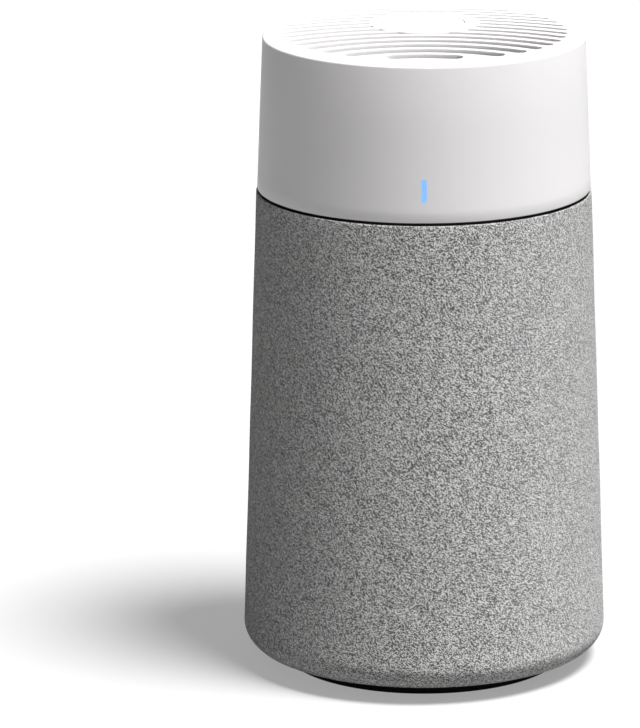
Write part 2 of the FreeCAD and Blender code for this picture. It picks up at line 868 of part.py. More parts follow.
def control_cover():
    top = pod_bottom_z() + cover_height
    floor_top = pod_bottom_z() + cover_floor
    floor = disc(control_land_radius, pod_bottom_z(), floor_top, 0, control_offset)
    inner = control_land_radius - control_pod_wall
    rim = ring(control_land_radius, inner, floor_top, top, 0, control_offset)
    lip = ring(inner - 0.1, inner - 1.3, floor_top, top + 1.5, 0, control_offset)
    hole = disc(lead_radius + 0.4, pod_bottom_z(), top, 0, motor_lead_y())
    notch_z = power_lead_z() - lead_radius - 0.3
    notch = block(4.0, 60.0, notch_z, top + 2, 0, control_offset + 30.0)
    side_notch = turned_about_control(notch, -60)
    return joined([floor, rim, lip]).cut([hole, notch, side_notch])


def turned_about_control(shape, angle):
    copy = shape.copy()
    copy.rotate(Vector(0, control_offset, 0), Vector(0, 0, 1), angle)
    return copy


def tact_switch():
    bottom = control_board_z() + board_thickness
    body = block(6.0, 6.0, bottom, bottom + 3.4, 0, control_offset)
    collar = ring(2.6, 2.0, bottom + 3.4, bottom + 4.0, 0, control_offset)
    well = disc(2.0, bottom + 1.6, bottom + 3.4, 0, control_offset)
    return joined([body, collar]).cut(well)


def switch_plunger():
    bottom = control_board_z() + board_thickness + 1.6 + button_travel + 0.2
    return disc(1.7, bottom, stem_bottom_z(), 0, control_offset)


def stem_bottom_z():
    return control_board_z() + board_thickness + 4.0 + button_travel + 0.3


def control_button():
    bottom = height - button_thickness
    cap_shape = disc(button_radius, bottom, height, 0, control_offset)
    rim = [edge for edge in cap_shape.Edges if edge.BoundBox.ZMin > height - 0.01]
    cap_shape = cap_shape.makeFillet(0.4, rim)
    flange_top = grille_z - 0.1
    flange = disc(button_radius + button_flange, flange_top - 1.2, flange_top, 0, control_offset)
    hollow = disc(button_radius - 2.4, bottom - 2, height - 1.8, 0, control_offset)
    stem = disc(2.6, stem_bottom_z(), height - 1.0, 0, control_offset)
    web = block(2 * button_radius - 3.0, 1.2, height - 3.8, height - 1.0, 0, control_offset)
    cross = block(1.2, 2 * button_radius - 3.0, height - 3.8, height - 1.0, 0, control_offset)
    return joined([joined([cap_shape, flange]).cut(hollow), stem, web, cross])


def indicator_board_y():
    return -(shell_radius(seam_z + indicator_height) - shell_wall - indicator_depth - 2.4)


def indicator_window():
    z = seam_z + indicator_height
    inner_y = -(shell_radius(z) - shell_wall - indicator_depth)
    bar = indicator_shape(-0.02, inner_y, -base_radius)
    bar = bar.common(head_outline())
    back = -(shell_radius(z + indicator_length) - shell_wall - 0.35)
    flange = indicator_shape(1.2, inner_y, back)
    return joined([bar, flange])


def indicator_board():
    z = seam_z + indicator_height
    y = indicator_board_y()
    return block(8.0, 1.0, z - 7.5, z + 7.5, 0, y - 0.5)


def indicator_leds():
    z = seam_z + indicator_height
    y = indicator_board_y() - 1.0
    lights = [block(2.0, 0.8, z + shift - 1.4, z + shift + 1.4, 0, y - 0.4) for shift in (-3.2, 3.2)]
    return Part.makeCompound(lights)


def indicator_lead_points():
    z = seam_z + indicator_height + 6.4
    y = indicator_board_y() + lead_radius
    radius = math.hypot(2.2, y)
    start_angle = math.degrees(math.atan2(y, 2.2))
    rim_z = power_lead_z()
    points = [polar(radius, start_angle, z), polar(radius, start_angle, rim_z)]
    last_angle = 56.0
    steps = 8
    for step in range(1, steps + 1):
        points.append(polar(radius, start_angle + (last_angle - start_angle) * step / steps, rim_z))
    points.append(indicator_lead_end(rim_z))
    return points


def indicator_lead_end(z):
    inner = control_land_radius - control_pod_wall - 4.0
    end = polar(inner, 30.0, z)
    return Vector(end.x, end.y + control_offset, z)


def indicator_wire_hole():
    points = indicator_lead_points()
    return rod(lead_radius + 0.4, points[-2], points[-1])


def indicator_lead():
    return lead(indicator_lead_points(), lead_radius * 0.7, 3.0)


def power_socket():
    flange = socket_rod(socket_flange_radius, -socket_flange_thickness, 0)
    barrel = socket_rod(socket_radius, -socket_length, 0)
    bore = socket_rod(plug_radius + plug_clearance, -socket_depth, 0)
    pin = socket_rod(socket_pin_radius, -socket_depth, socket_pin_length - socket_depth)
    tip_y = socket_face_y() + socket_pin_length - socket_depth
    tip = [edge for edge in pin.Edges if edge.BoundBox.YMin > tip_y - 0.01]
    pin = pin.makeFillet(0.3, tip)
    return joined([joined([flange, barrel]).cut(bore), pin])


def power_socket_nut():
    z = seam_z + socket_height
    back = socket_face_y() - socket_pad_depth
    radius = socket_radius + socket_nut_width
    points = []
    for corner in range(6):
        turn = math.radians(60 * corner)
        points.append(Vector(radius * math.cos(turn), back, z + radius * math.sin(turn)))
    hexagon = Part.Face(Part.makePolygon(points + points[:1]))
    nut = hexagon.extrude(Vector(0, -socket_nut_thickness, 0))
    return nut.cut(socket_rod(socket_radius, -socket_length, 0))


def power_lead():
    z = seam_z + socket_height + socket_radius
    y = socket_face_y() - socket_length + 2.4
    end_y = control_offset + control_land_radius - control_pod_wall - 5.0
    return lead([Vector(0, y, z), Vector(0, y, power_lead_z()), Vector(0, end_y, power_lead_z())])


def motor_lead():
    y = motor_lead_y()
    return rod(lead_radius, Vector(0, y, motor_flange_z()), Vector(0, y, control_board_z()))


# Rotor

def blade_section(radius, chord, thickness, angle):
    half = chord / 2
    points = [(-half, 0), (0, thickness / 2), (half, 0), (0, -thickness / 2)]
    turn = math.radians(angle)
    z = impeller_z + impeller_height / 2
    placed = []
    for along, across in points:
        dy = along * math.cos(turn) - across * math.sin(turn)
        dz = along * math.sin(turn) + across * math.cos(turn)
        placed.append(Vector(radius, dy, z + dz))
    return Part.makePolygon(placed + placed[:1])


def impeller():
    top = impeller_z + impeller_height
    hub = disc(impeller_hub_radius, impeller_z, top)
    rim = [edge for edge in hub.Edges if edge.BoundBox.ZMax < impeller_z + 0.01]
    hub = hub.makeFillet(2.0, rim)
    hub = hub.cut(disc(yoke_radius, impeller_z + yoke_lift, top))
    tip = duct_radius - tip_clearance
    sections = [
        blade_section(impeller_hub_radius - 0.8, 20.0, 2.6, 44.0),
        blade_section(tip + 2.0, 32.0, 1.8, 26.0),
    ]
    blade = Part.makeLoft(sections, True, True)
    blade = blade.common(ring(tip, impeller_hub_radius - 0.8, impeller_z, top))
    return joined([hub] + around(blade, blade_count))


def rotor_yoke():
    bottom = impeller_z + yoke_lift
    top = impeller_z + impeller_height - 0.5
    cup = disc(yoke_radius, bottom, top).cut(disc(yoke_radius - yoke_wall, bottom + yoke_wall, top))
    boss = disc(3.2, bottom + yoke_wall, bottom + yoke_wall + 2.6)
    return joined([cup, boss]).cut(disc(shaft_radius, bottom, top))


def rotor_magnet():
    bottom = impeller_z + magnet_lift
    outer = yoke_radius - yoke_wall
    return ring(outer, outer - magnet_thickness, bottom, impeller_z + impeller_height - 1.0)


def motor_shaft():
    return disc(shaft_radius, impeller_z + yoke_lift, hub_z - 0.9)


parts = {
    "foot_ring": foot_ring,
    "base_pan": base_pan,
    "base_screws": base_screws,
    "intake_cage": intake_cage,
    "fabric_sleeve": fabric_sleeve,
    "sleeve_top_elastic": sleeve_top_elastic,
    "sleeve_bottom_elastic": sleeve_bottom_elastic,
    "filter_bottom_cap": filter_bottom_cap,
    "filter_media": filter_media,
    "filter_carbon_sleeve": filter_carbon_sleeve,
    "filter_bands": filter_bands,
    "filter_top_cap": filter_top_cap,
    "filter_gasket": filter_gasket,
    "head_shell": head_shell,
    "head_chassis": head_chassis,
    "chassis_screws": chassis_screws,
    "inlet_guard": inlet_guard,
    "inlet_bell": inlet_bell,
    "fan_housing": fan_housing,
    "motor_base": motor_base,
    "motor_screws": motor_screws,
    "stator_core": stator_core,
    "stator_windings": stator_windings,
    "motor_board": motor_board,
    "lower_bearing": lower_bearing,
    "upper_bearing": upper_bearing,
    "control_board": control_board,
    "control_board_screws": control_board_screws,
    "control_cover": control_cover,
    "tact_switch": tact_switch,
    "indicator_window": indicator_window,
    "indicator_board": indicator_board,
    "indicator_leds": indicator_leds,
    "indicator_lead": indicator_lead,
    "power_socket": power_socket,
    "power_socket_nut": power_socket_nut,
    "power_lead": power_lead,
    "motor_lead": motor_lead,
    "impeller": impeller,
    "rotor_yoke": rotor_yoke,
    "rotor_magnet": rotor_magnet,
    "motor_shaft": motor_shaft,
    "control_button": control_button,
    "switch_plunger": switch_plunger,
}

os.makedirs("parts", exist_ok=True)
for name, make in parts.items():
    shape = make()
    if not shape.isValid():
        raise ValueError(name + " is not a valid shape")
    shape.exportStep("parts/" + name + ".step")
    print(name, len(shape.Solids), "solids", round(shape.Volume), "mm3")
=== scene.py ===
import math

import bmesh
import bpy
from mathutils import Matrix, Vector


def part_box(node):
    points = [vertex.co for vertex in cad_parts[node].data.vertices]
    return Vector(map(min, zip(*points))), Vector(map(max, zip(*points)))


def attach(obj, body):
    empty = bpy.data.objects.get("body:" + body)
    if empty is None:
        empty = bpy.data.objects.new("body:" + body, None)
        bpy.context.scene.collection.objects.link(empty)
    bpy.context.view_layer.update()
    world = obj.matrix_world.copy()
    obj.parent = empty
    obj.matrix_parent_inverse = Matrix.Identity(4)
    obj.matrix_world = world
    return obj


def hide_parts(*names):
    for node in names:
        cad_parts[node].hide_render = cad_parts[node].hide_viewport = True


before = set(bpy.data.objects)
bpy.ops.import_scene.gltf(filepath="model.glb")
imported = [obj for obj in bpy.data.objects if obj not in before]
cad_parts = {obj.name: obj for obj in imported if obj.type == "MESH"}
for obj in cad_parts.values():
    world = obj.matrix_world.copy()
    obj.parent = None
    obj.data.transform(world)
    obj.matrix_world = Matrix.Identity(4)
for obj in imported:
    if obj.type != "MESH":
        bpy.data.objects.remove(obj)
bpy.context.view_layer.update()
bpy.ops.object.select_all(action="DESELECT")
print("frame loaded:", len(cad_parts), "nodes")


# Small helpers for working in edit mode

def clearSelection():
    bpy.ops.object.select_all(action="DESELECT")


def makeActive(piece):
    clearSelection()
    piece.select_set(True)
    bpy.context.view_layer.objects.active = piece


def latestPiece(name):
    piece = bpy.context.object
    piece.name = name
    piece.data.name = name
    return piece


def placeInMesh(piece):
    makeActive(piece)
    bpy.ops.object.transform_apply(location=True, rotation=True, scale=True)


def selectWhere(piece, kind, test):
    # picks vertices, edges or faces by their place; leaves the piece in edit mode
    makeActive(piece)
    bpy.ops.object.mode_set(mode="EDIT")
    bpy.ops.mesh.select_mode(type=kind)
    bpy.ops.mesh.select_all(action="DESELECT")
    mesh = bmesh.from_edit_mesh(piece.data)
    parts = {"VERT": mesh.verts, "EDGE": mesh.edges, "FACE": mesh.faces}[kind]
    found = 0
    for part in parts:
        if test(part):
            part.select_set(True)
            found += 1
    mesh.select_flush_mode()
    bmesh.update_edit_mesh(piece.data)
    return found


def tidyMesh(piece, distance=0.000002):
    makeActive(piece)
    bpy.ops.object.mode_set(mode="EDIT")
    bpy.ops.mesh.select_mode(type="VERT")
    bpy.ops.mesh.select_all(action="SELECT")
    bpy.ops.mesh.remove_doubles(threshold=distance)
    bpy.ops.mesh.normals_make_consistent(inside=False)
    bpy.ops.object.mode_set(mode="OBJECT")


def smoothByAngle(piece, degrees=32):
    makeActive(piece)
    bpy.ops.object.shade_smooth_by_angle(angle=math.radians(degrees))


def applyModifier(piece, kind, **settings):
    makeActive(piece)
    modifier = piece.modifiers.new(kind.lower(), kind)
    for name, value in settings.items():
        setattr(modifier, name, value)
    bpy.ops.object.modifier_apply(modifier=modifier.name)


def cutAway(piece, cutter, operation="DIFFERENCE"):
    applyModifier(piece, "BOOLEAN", operation=operation, object=cutter, solver="EXACT")
    bpy.data.objects.remove(cutter)


def joinPieces(pieces, name):
    clearSelection()
    for piece in pieces:
        piece.select_set(True)
    bpy.context.view_layer.objects.active = pieces[0]
    if len(pieces) > 1:
        bpy.ops.object.join()
    return latestPiece(name)


def turnedRing(name, profile, segments=192, centre=(0.0, 0.0), closed=True):
    # a circle carried through the profile by extruding and resizing, like work on a lathe
    startRadius, startZ = profile[0]
    bpy.ops.mesh.primitive_circle_add(vertices=segments, radius=startRadius, fill_type="NOTHING",
                                      location=(centre[0], centre[1], startZ))
    piece = latestPiece(name)
    placeInMesh(piece)
    bpy.ops.object.mode_set(mode="EDIT")
    bpy.ops.mesh.select_mode(type="EDGE")
    bpy.ops.mesh.select_all(action="SELECT")
    radius, z = startRadius, startZ
    stops = profile[1:] + ([profile[0]] if closed else [])
    for nextRadius, nextZ in stops:
        bpy.ops.mesh.extrude_region_move(TRANSFORM_OT_translate={"value": (0, 0, nextZ - z)})
        share = nextRadius / radius
        if abs(share - 1) > 1e-9:
            bpy.ops.transform.resize(value=(share, share, 1), center_override=(centre[0], centre[1], nextZ))
        radius, z = nextRadius, nextZ
    if not closed:
        bpy.ops.mesh.edge_face_add()
        bpy.ops.mesh.select_all(action="DESELECT")
        bpy.ops.object.mode_set(mode="OBJECT")
        selectWhere(piece, "EDGE", lambda e: e.is_boundary)
        bpy.ops.mesh.edge_face_add()
    bpy.ops.object.mode_set(mode="OBJECT")
    tidyMesh(piece)
    return piece


def arcPoints(centreRadius, centreZ, radius, fromDegrees, toDegrees, steps):
    points = []
    for step in range(steps + 1):
        angle = math.radians(fromDegrees + (toDegrees - fromDegrees) * step / steps)
        points.append((centreRadius + radius * math.cos(angle), centreZ + radius * math.sin(angle)))
    return points


def dressPiece(piece, body, slotName, material, *nodes):
    piece.data.materials.clear()
    piece.data.materials.append(material)
    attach(piece, body)
    if nodes:
        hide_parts(*nodes)
    return piece


# Node groups that several materials share

def newGroup(name, inputs, outputs):
    group = bpy.data.node_groups.new(name, "ShaderNodeTree")
    for label, kind, value in inputs:
        socket = group.interface.new_socket(name=label, in_out="INPUT", socket_type=kind)
        if value is not None:
            socket.default_value = value
    for label, kind in outputs:
        group.interface.new_socket(name=label, in_out="OUTPUT", socket_type=kind)
    entry = group.nodes.new("NodeGroupInput")
    leave = group.nodes.new("NodeGroupOutput")
    return group, entry, leave


def addNode(tree, kind, links=(), **settings):
    node = tree.nodes.new(kind)
    for name, value in settings.items():
        setattr(node, name, value)
    for socket, source in links:
        if isinstance(source, bpy.types.NodeSocket):
            tree.links.new(source, node.inputs[socket])
        else:
            node.inputs[socket].default_value = source
    return node


def mathNode(tree, operation, first, second=None, third=None, clamp=False):
    links = [(0, first)]
    if second is not None:
        links.append((1, second))
    if third is not None:
        links.append((2, third))
    return addNode(tree, "ShaderNodeMath", links, operation=operation, use_clamp=clamp).outputs[0]


def mixColours(tree, factor, first, second, blend="MIX"):
    node = addNode(tree, "ShaderNodeMix", data_type="RGBA", blend_type=blend)
    for index, source in ((0, factor), (6, first), (7, second)):
        if isinstance(source, bpy.types.NodeSocket):
            tree.links.new(source, node.inputs[index])
        else:
            node.inputs[index].default_value = source
    return node.outputs[2]


colour = "NodeSocketColor"
number = "NodeSocketFloat"
vector = "NodeSocketVector"


def makeMouldGrain():
    # fine spark-eroded tool texture with slow colour drift and faint handling marks
    tree, entry, leave = newGroup(
        "mouldGrain",
        [("Vector", vector, None), ("Colour", colour, (0.8, 0.8, 0.8, 1)), ("Drift", number, 0.04),
         ("Grain Size", number, 0.0004), ("Roughness", number, 0.4), ("Marks", number, 0.06)],
        [("Colour", colour), ("Roughness", number), ("Height", number)])
    grainScale = mathNode(tree, "DIVIDE", 1.0, entry.outputs["Grain Size"])
    grain = addNode(tree, "ShaderNodeTexNoise",
                    [("Vector", entry.outputs["Vector"]), ("Scale", grainScale), ("Detail", 2.0)])
    slow = addNode(tree, "ShaderNodeTexNoise",
                   [("Vector", entry.outputs["Vector"]), ("Scale", 14.0), ("Detail", 3.0)])
    marks = addNode(tree, "ShaderNodeTexNoise",
                    [("Vector", entry.outputs["Vector"]), ("Scale", 55.0), ("Detail", 5.0),
                     ("Distortion", 0.8)])
    swing = mathNode(tree, "SUBTRACT", slow.outputs[0], 0.5)
    amount = mathNode(tree, "MULTIPLY_ADD", swing, entry.outputs["Drift"], 1.0)
    shade = addNode(tree, "ShaderNodeCombineColor", [(0, amount), (1, amount), (2, amount)])
    leaveColour = mixColours(tree, 1.0, entry.outputs["Colour"], shade.outputs[0], "MULTIPLY")
    tree.links.new(leaveColour, leave.inputs["Colour"])
    smear = mathNode(tree, "SUBTRACT", marks.outputs[0], 0.5)
    rough = mathNode(tree, "MULTIPLY_ADD", smear, entry.outputs["Marks"], entry.outputs["Roughness"], True)
    tree.links.new(rough, leave.inputs["Roughness"])
    tree.links.new(grain.outputs[0], leave.inputs["Height"])
    return tree


def makeBrushing():
    # fine lines along one axis for turned, drawn or ground metal
    tree, entry, leave = newGroup(
        "brushing",
        [("Vector", vector, None), ("Stretch", vector, (1, 1, 40)), ("Colour", colour, (0.6, 0.6, 0.6, 1)),
         ("Roughness", number, 0.3), ("Spread", number, 0.2)],
        [("Colour", colour), ("Roughness", number), ("Height", number)])
    stretched = addNode(tree, "ShaderNodeVectorMath",
                        [(0, entry.outputs["Vector"]), (1, entry.outputs["Stretch"])], operation="MULTIPLY")
    lines = addNode(tree, "ShaderNodeTexNoise",
                    [("Vector", stretched.outputs[0]), ("Scale", 220.0), ("Detail", 4.0)])
    swing = mathNode(tree, "SUBTRACT", lines.outputs[0], 0.5)
    rough = mathNode(tree, "MULTIPLY_ADD", swing, entry.outputs["Spread"], entry.outputs["Roughness"], True)
    tone = mathNode(tree, "MULTIPLY_ADD", swing, 0.25, 1.0)
    shade = addNode(tree, "ShaderNodeCombineColor", [(0, tone), (1, tone), (2, tone)])
    leaveColour = mixColours(tree, 1.0, entry.outputs["Colour"], shade.outputs[0], "MULTIPLY")
    tree.links.new(leaveColour, leave.inputs["Colour"])
    tree.links.new(rough, leave.inputs["Roughness"])
    tree.links.new(lines.outputs[0], leave.inputs["Height"])
    return tree


def makeFibres():
    # matted fibres for felt, filter sheet and foam
    tree, entry, leave = newGroup(
        "fibres",
        [("Vector", vector, None), ("Size", number, 0.0012), ("Light", colour, (0.8, 0.8, 0.8, 1)),
         ("Dark", colour, (0.6, 0.6, 0.6, 1))],
        [("Colour", colour), ("Height", number)])
    scale = mathNode(tree, "DIVIDE", 1.0, entry.outputs["Size"])
    first = addNode(tree, "ShaderNodeTexNoise",
                    [("Vector", entry.outputs["Vector"]), ("Scale", scale), ("Detail", 6.0),
                     ("Distortion", 2.2)])
    cells = addNode(tree, "ShaderNodeTexVoronoi", [("Vector", entry.outputs["Vector"]), ("Scale", scale)],
                    feature="F1")
    strands = mathNode(tree, "MULTIPLY_ADD", cells.outputs["Distance"], 0.5, first.outputs[0])
    mask = mathNode(tree, "SUBTRACT", strands, 0.25, clamp=True)
    leaveColour = mixColours(tree, mask, entry.outputs["Dark"], entry.outputs["Light"])
    tree.links.new(leaveColour, leave.inputs["Colour"])
    tree.links.new(strands, leave.inputs["Height"])
    return tree


def makeKnitStitch():
    # slanted rows of short yarn floats, each float its own tone, on UV that counts stitches; the hollows
    # between floats and rows get a near-black painted shade
    tree, entry, leave = newGroup(
        "knitStitch",
        [("Vector", vector, None), ("Slant", number, 0.35), ("Pale Yarn", colour, (0.7, 0.7, 0.7, 1)),
         ("Mid Yarn", colour, (0.4, 0.4, 0.4, 1)), ("Dark Yarn", colour, (0.05, 0.05, 0.05, 1)),
         ("Gap", colour, (0.02, 0.02, 0.02, 1)), ("Heather", number, 1.0)],
        [("Colour", colour), ("Height", number), ("Mask", number)])
    warp = addNode(tree, "ShaderNodeTexNoise",
                   [("Vector", entry.outputs["Vector"]), ("Scale", 0.6), ("Detail", 2.0)])
    warpShift = addNode(tree, "ShaderNodeVectorMath", [(0, warp.outputs["Color"]), (1, (0.5, 0.5, 0.5))],
                        operation="SUBTRACT")
    warpSmall = addNode(tree, "ShaderNodeVectorMath", [(0, warpShift.outputs[0]), (1, (0.5, 0.35, 0))],
                        operation="MULTIPLY")
    moved = addNode(tree, "ShaderNodeVectorMath", [(0, entry.outputs["Vector"]), (1, warpSmall.outputs[0])],
                    operation="ADD")
    split = addNode(tree, "ShaderNodeSeparateXYZ", [(0, moved.outputs[0])])
    across, up = split.outputs[0], split.outputs[1]
    rowPlace = mathNode(tree, "MULTIPLY_ADD", across, entry.outputs["Slant"], up)
    row = mathNode(tree, "FLOOR", rowPlace)
    inRow = mathNode(tree, "FRACT", rowPlace)
    stitchPlace = mathNode(tree, "MULTIPLY_ADD", row, 0.5, across)
    stitch = mathNode(tree, "FLOOR", stitchPlace)
    inStitch = mathNode(tree, "FRACT", stitchPlace)
    cell = addNode(tree, "ShaderNodeCombineXYZ", [(0, stitch), (1, row), (2, 0.0)])
    pick = addNode(tree, "ShaderNodeTexWhiteNoise", [("Vector", cell.outputs[0])], noise_dimensions="3D")
    roundRow = mathNode(tree, "SINE", mathNode(tree, "MULTIPLY", inRow, math.pi))
    roundStitch = mathNode(tree, "SINE", mathNode(tree, "MULTIPLY", inStitch, math.pi))
    body = mathNode(tree, "POWER", roundRow, 0.75)
    ends = mathNode(tree, "POWER", roundStitch, 0.45)
    height = mathNode(tree, "MULTIPLY", body, ends)
    strandVector = addNode(tree, "ShaderNodeCombineXYZ",
                           [(0, across), (1, mathNode(tree, "MULTIPLY", rowPlace, 5.0)),
                            (2, pick.outputs[0])])
    strands = addNode(tree, "ShaderNodeTexNoise",
                      [("Vector", strandVector.outputs[0]), ("Scale", 2.2), ("Detail", 3.0)])
    fuzz = mathNode(tree, "SUBTRACT", strands.outputs[0], 0.5)
    fuzzy = mathNode(tree, "MULTIPLY_ADD", fuzz, 0.5, height)
    tone = mathNode(tree, "MULTIPLY_ADD", fuzz, 0.4, pick.outputs[0])
    ramp = addNode(tree, "ShaderNodeValToRGB", [(0, tone)])
    ramp.color_ramp.elements[0].position = 0.33
    ramp.color_ramp.elements[0].color = (0, 0, 0, 1)
    ramp.color_ramp.elements[1].position = 0.67
    ramp.color_ramp.elements[1].color = (1, 1, 1, 1)
    darkToMid = mathNode(tree, "MULTIPLY", ramp.outputs[0], 2.0, clamp=True)
    midToPale = mathNode(tree, "MULTIPLY_ADD", ramp.outputs[0], 2.0, -1.0, True)
    lower = mixColours(tree, darkToMid, entry.outputs["Dark Yarn"], entry.outputs["Mid Yarn"])
    yarn = mixColours(tree, midToPale, lower, entry.outputs["Pale Yarn"])
    heathered = mixColours(tree, entry.outputs["Heather"], entry.outputs["Mid Yarn"], yarn)
    # painted shade: where the stitch height is low, between floats and rows, the colour goes to the
    # near-black gap shade
    unshadedYarnShare = mathNode(tree, "MULTIPLY_ADD", height, 2.6, -0.35, True)
    final = mixColours(tree, unshadedYarnShare, entry.outputs["Gap"], heathered)
    tree.links.new(final, leave.inputs["Colour"])
    tree.links.new(fuzzy, leave.inputs["Height"])
    tree.links.new(unshadedYarnShare, leave.inputs["Mask"])
    return tree


mouldGrain = makeMouldGrain()
brushing = makeBrushing()
fibres = makeFibres()
knitStitch = makeKnitStitch()
print("shared node groups ready")


# Materials

def startMaterial(name):
    material = bpy.data.materials.new(name)
    material.use_nodes = True
    tree = material.node_tree
    shader = tree.nodes["Principled BSDF"]
    return material, tree, shader


def placeGroup(tree, group, **values):
    node = tree.nodes.new("ShaderNodeGroup")
    node.node_tree = group
    for label, value in values.items():
        node.inputs[label.replace("_", " ")].default_value = value
    return node


def addBump(tree, shader, height, strength, distance):
    bump = addNode(tree, "ShaderNodeBump",
                   [("Strength", strength), ("Distance", distance), ("Height", height)])
    tree.links.new(bump.outputs[0], shader.inputs["Normal"])


def mouldedPlastic(name, look):
    material, tree, shader = startMaterial(name)
    place = tree.nodes.new("ShaderNodeTexCoord")
    grain = placeGroup(tree, mouldGrain, Colour=(*look["colour"], 1), Drift=look.get("drift", 0.04),
                       Grain_Size=look.get("grain", 0.0005), Roughness=look["roughness"],
                       Marks=look.get("marks", 0.08))
    tree.links.new(place.outputs["Object"], grain.inputs["Vector"])
    tree.links.new(grain.outputs["Colour"], shader.inputs["Base Color"])
    tree.links.new(grain.outputs["Roughness"], shader.inputs["Roughness"])
    shader.inputs["IOR"].default_value = look.get("ior", 1.5)
    shader.inputs["Coat Weight"].default_value = look.get("coat", 0.0)
    shader.inputs["Coat Roughness"].default_value = 0.25
    shader.inputs["Subsurface Weight"].default_value = look.get("glow", 0.0)
    shader.inputs["Subsurface Radius"].default_value = (1.0, 1.0, 1.0)
    shader.inputs["Subsurface Scale"].default_value = 0.002
    addBump(tree, shader, grain.outputs["Height"], look.get("bump", 0.25), look.get("depth", 0.00004))
    return material


def workedMetal(name, look):
    material, tree, shader = startMaterial(name)
    place = tree.nodes.new("ShaderNodeTexCoord")
    lines = placeGroup(tree, brushing, Stretch=look.get("stretch", (1, 1, 40)), Colour=(*look["colour"], 1),
                       Roughness=look["roughness"], Spread=look.get("spread", 0.2))
    tree.links.new(place.outputs["Object"], lines.inputs["Vector"])
    tree.links.new(lines.outputs["Colour"], shader.inputs["Base Color"])
    tree.links.new(lines.outputs["Roughness"], shader.inputs["Roughness"])
    shader.inputs["Metallic"].default_value = look.get("metallic", 1.0)
    addBump(tree, shader, lines.outputs["Height"], 0.2, 0.00003)
    return material


def fibrousSheet(name, look):
    material, tree, shader = startMaterial(name)
    place = tree.nodes.new("ShaderNodeTexCoord")
    mat = placeGroup(tree, fibres, Size=look["size"], Light=(*look["light"], 1), Dark=(*look["dark"], 1))
    tree.links.new(place.outputs["Object"], mat.inputs["Vector"])
    tree.links.new(mat.outputs["Colour"], shader.inputs["Base Color"])
    shader.inputs["Roughness"].default_value = look.get("roughness", 0.9)
    shader.inputs["Sheen Weight"].default_value = look.get("sheen", 0.15)
    addBump(tree, shader, mat.outputs["Height"], look.get("bump", 0.5), look.get("depth", 0.0002))
    return material


def knittedCloth(name, look):
    material, tree, shader = startMaterial(name)
    stitches = tree.nodes.new("ShaderNodeUVMap")
    stitches.uv_map = "stitches"
    knit = placeGroup(tree, knitStitch, Slant=look["slant"], Pale_Yarn=(*look["pale"], 1),
                      Mid_Yarn=(*look["mid"], 1), Dark_Yarn=(*look["dark"], 1), Gap=(*look["gap"], 1),
                      Heather=look["heather"])
    tree.links.new(stitches.outputs[0], knit.inputs["Vector"])
    tree.links.new(knit.outputs["Colour"], shader.inputs["Base Color"])
    shader.inputs["Roughness"].default_value = 0.88
    shader.inputs["Diffuse Roughness"].default_value = 1.0
    shader.inputs["Sheen Weight"].default_value = look["sheen"]
    shader.inputs["Sheen Roughness"].default_value = 0.5
    addBump(tree, shader, knit.outputs["Height"], look["bump"], look["depth"])
    return material


def litLens(name, look):
    material, tree, shader = startMaterial(name)
    place = tree.nodes.new("ShaderNodeTexCoord")
    spread = addNode(tree, "ShaderNodeTexNoise",
                     [("Vector", place.outputs["Object"]), ("Scale", 260.0), ("Detail", 2.0)])
    glow = mixColours(tree, spread.outputs[0], (*look["deep"], 1), (*look["bright"], 1))
    tree.links.new(glow, shader.inputs["Base Color"])
    tree.links.new(glow, shader.inputs["Emission Color"])
    shader.inputs["Emission Strength"].default_value = look["strength"]
    shader.inputs["Roughness"].default_value = 0.3
    return material


plasticLooks = {
    "headWhite": {"colour": (0.64, 0.628, 0.634), "roughness": 0.42, "drift": 0.015, "grain": 0.00045,
                  "bump": 0.12, "marks": 0.05, "glow": 0.3},
    "podWhite": {"colour": (0.74, 0.74, 0.74), "roughness": 0.5},
    "buttonWhite": {"colour": (0.65, 0.64, 0.645), "roughness": 0.36, "drift": 0.015, "grain": 0.0004,
                    "bump": 0.1},
    "iconGrey": {"colour": (0.55, 0.54, 0.56), "roughness": 0.4},
    "baseBlack": {"colour": (0.012, 0.012, 0.013), "roughness": 0.5, "drift": 0.2},
    "cageGraphite": {"colour": (0.02, 0.02, 0.022), "roughness": 0.55, "drift": 0.2},
    "chassisBlack": {"colour": (0.02, 0.02, 0.021), "roughness": 0.5, "drift": 0.2},
    "fanWhite": {"colour": (0.62, 0.62, 0.62), "roughness": 0.5, "drift": 0.05},
    "impellerGrey": {"colour": (0.42, 0.43, 0.44), "roughness": 0.38, "drift": 0.06},
    "filterPlastic": {"colour": (0.66, 0.68, 0.69), "roughness": 0.5, "drift": 0.05, "glow": 0.05},
    "footRubber": {"colour": (0.010, 0.010, 0.010), "roughness": 0.85, "grain": 0.0008, "bump": 0.5,
                   "drift": 0.3},
    "leadBlack": {"colour": (0.02, 0.02, 0.02), "roughness": 0.55, "grain": 0.001, "bump": 0.4},
    "switchNylon": {"colour": (0.03, 0.03, 0.03), "roughness": 0.45},
    "socketBlack": {"colour": (0.015, 0.015, 0.016), "roughness": 0.3},
    "boardGreen": {"colour": (0.01, 0.09, 0.04), "roughness": 0.3, "coat": 0.4, "drift": 0.4,
                   "grain": 0.002},
    "ledResin": {"colour": (0.8, 0.78, 0.5), "roughness": 0.2},
    "glueBand": {"colour": (0.72, 0.71, 0.66), "roughness": 0.35, "grain": 0.003, "bump": 0.4,
                 "depth": 0.0003},
}
